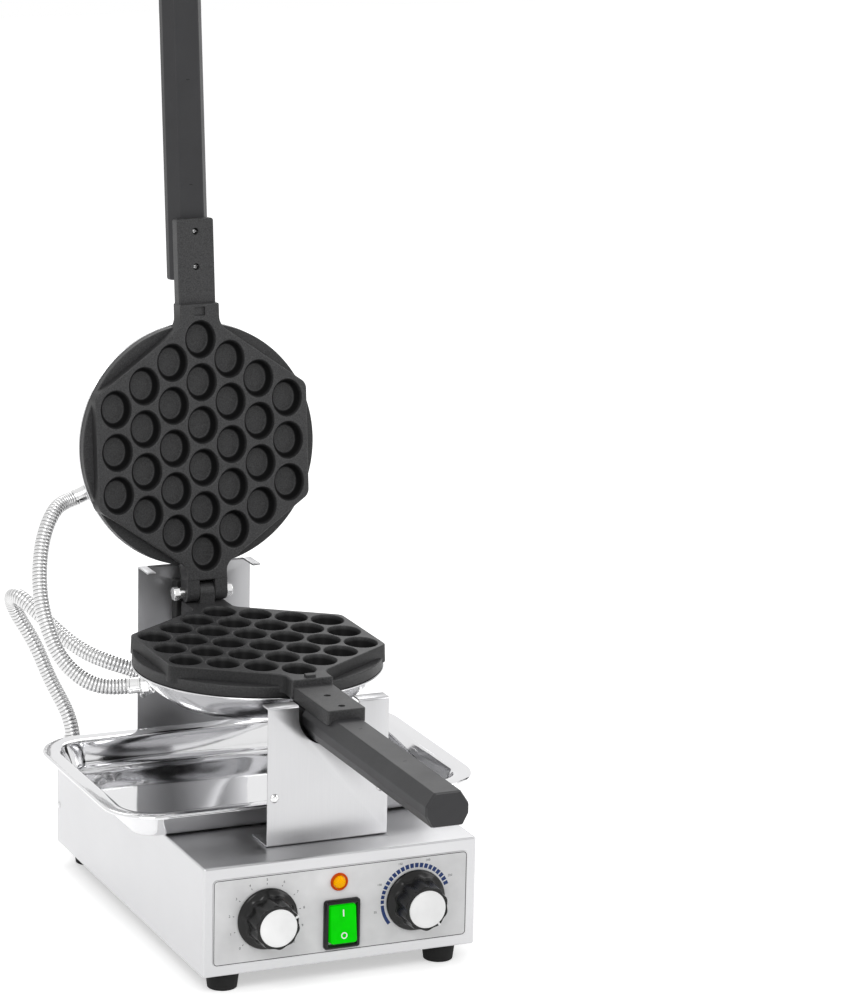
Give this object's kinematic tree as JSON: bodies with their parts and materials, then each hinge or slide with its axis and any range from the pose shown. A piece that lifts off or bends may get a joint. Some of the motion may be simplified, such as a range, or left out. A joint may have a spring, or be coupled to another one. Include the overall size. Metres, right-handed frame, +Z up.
{
  "type": "bubble waffle maker",
  "caption": "Countertop bubble waffle maker: turning pair of cast cell plates with long grips and steel domes on a boxed base with drip tray, timer, thermostat and switch.",
  "frame": {"origin": "centre of the machine's box on the surface it stands on", "axes": "+X to the right of the control panel, +Y from the panel to the back, +Z up"},
  "size_m": [0.341, 0.6422, 0.8055],
  "materials": {
    "brushed_steel": "satin brushed sheet",
    "panel_label": "satin printed label, light grey",
    "polished_steel": "mirror polished pressed steel",
    "cast_iron_black": "semi-matte black non-stick coating",
    "grip_plastic": "charcoal, satin",
    "black_gloss_plastic": "glossy black",
    "cap_silver": "satin silver white",
    "rocker_green": "lit green",
    "lamp_orange": "dark orange",
    "lamp_amber": "amber lens",
    "black_matte_plastic": "matte black",
    "rubber_black": "matte",
    "control_unit": "moulded, inside the base",
    "element_steel": "heat-tinted tube",
    "bright_metal": "nickel plated"
  },
  "bodies": {
    "base": {"base_conduit": "bright_metal", "base_gland": "bright_metal", "base_housing": "brushed_steel", "bottom_plate": "brushed_steel", "control_label": "panel_label", "foot_front_left": "rubber_black", "foot_front_right": "rubber_black", "foot_rear_left": "rubber_black", "foot_rear_right": "rubber_black", "front_bracket": "brushed_steel", "front_bracket_nut_left": "bright_metal", "front_bracket_nut_right": "bright_metal", "front_bracket_screw_left": "bright_metal", "front_bracket_screw_right": "bright_metal", "front_cradle": "black_matte_plastic", "pilot_lamp_bezel": "lamp_orange", "pilot_lamp_lens": "lamp_amber", "power_switch_frame": "black_gloss_plastic", "rear_bearing_block": "black_matte_plastic", "rear_bracket": "brushed_steel", "rear_bracket_nut_left": "bright_metal", "rear_bracket_nut_right": "bright_metal", "rear_bracket_screw_left": "bright_metal", "rear_bracket_screw_right": "bright_metal", "thermostat_knob_unit": "control_unit", "timer_knob_unit": "control_unit"},
    "lower_iron": {"lower_plate": "cast_iron_black", "lower_dome": "polished_steel", "lower_heating_element": "element_steel", "front_trunnion": "cast_iron_black", "lower_grip": "grip_plastic", "lower_grip_screw_1": "bright_metal", "lower_grip_screw_2": "bright_metal", "lower_gland_loop": "bright_metal", "lower_gland_loop_ferrule": "bright_metal", "lower_gland_base": "bright_metal", "lower_gland_base_ferrule": "bright_metal", "hinge_pin": "bright_metal", "hinge_nut": "bright_metal", "rear_journal": "bright_metal", "journal_collar": "bright_metal", "loop_conduit": "bright_metal"},
    "lid": {"upper_plate": "cast_iron_black", "upper_dome": "polished_steel", "upper_heating_element": "element_steel", "upper_grip": "grip_plastic", "upper_grip_screw_1": "bright_metal", "upper_grip_screw_2": "bright_metal", "upper_gland": "bright_metal", "upper_gland_ferrule": "bright_metal"},
    "timer_knob_body": {"timer_knob": "black_gloss_plastic", "timer_knob_cap": "cap_silver", "timer_knob_shaft": "bright_metal"},
    "thermostat_knob_body": {"thermostat_knob": "black_gloss_plastic", "thermostat_knob_cap": "cap_silver", "thermostat_knob_shaft": "bright_metal"},
    "rocker": {"power_rocker": "rocker_green"},
    "tray": {"drip_tray": "polished_steel"}
  },
  "joints": [
    {"name": "iron_flip", "type": "hinge", "parent": "base", "child": "lower_iron", "pos_m": [0.005, 0.09689, 0.248], "axis": [0, 1, 0], "range_deg": [0, 3], "deforming": ["base_conduit"]},
    {"name": "lid_hinge", "type": "hinge", "parent": "lower_iron", "child": "lid", "pos_m": [0.005, 0.23099, 0.2571], "axis": [1, 0, 0], "range_deg": [0, 95.9], "deforming": ["loop_conduit"]},
    {"name": "timer_turn", "type": "hinge", "parent": "base", "child": "timer_knob_body", "pos_m": [-0.063, -0.10371, 0.064], "axis": [0, 1, 0], "range_deg": [-60, 240]},
    {"name": "thermostat_turn", "type": "hinge", "parent": "base", "child": "thermostat_knob_body", "pos_m": [0.073, -0.10371, 0.064], "axis": [0, 1, 0], "range_deg": [-240, 30]},
    {"name": "rocker_tilt", "type": "hinge", "parent": "base", "child": "rocker", "pos_m": [0.005, -0.10251, 0.051], "axis": [1, 0, 0], "range_deg": [0, 14]},
    {"name": "tray_slide", "type": "slide", "parent": "base", "child": "tray", "axis": [1, 0, 0], "range_m": [0, 0.25]}
  ]
}
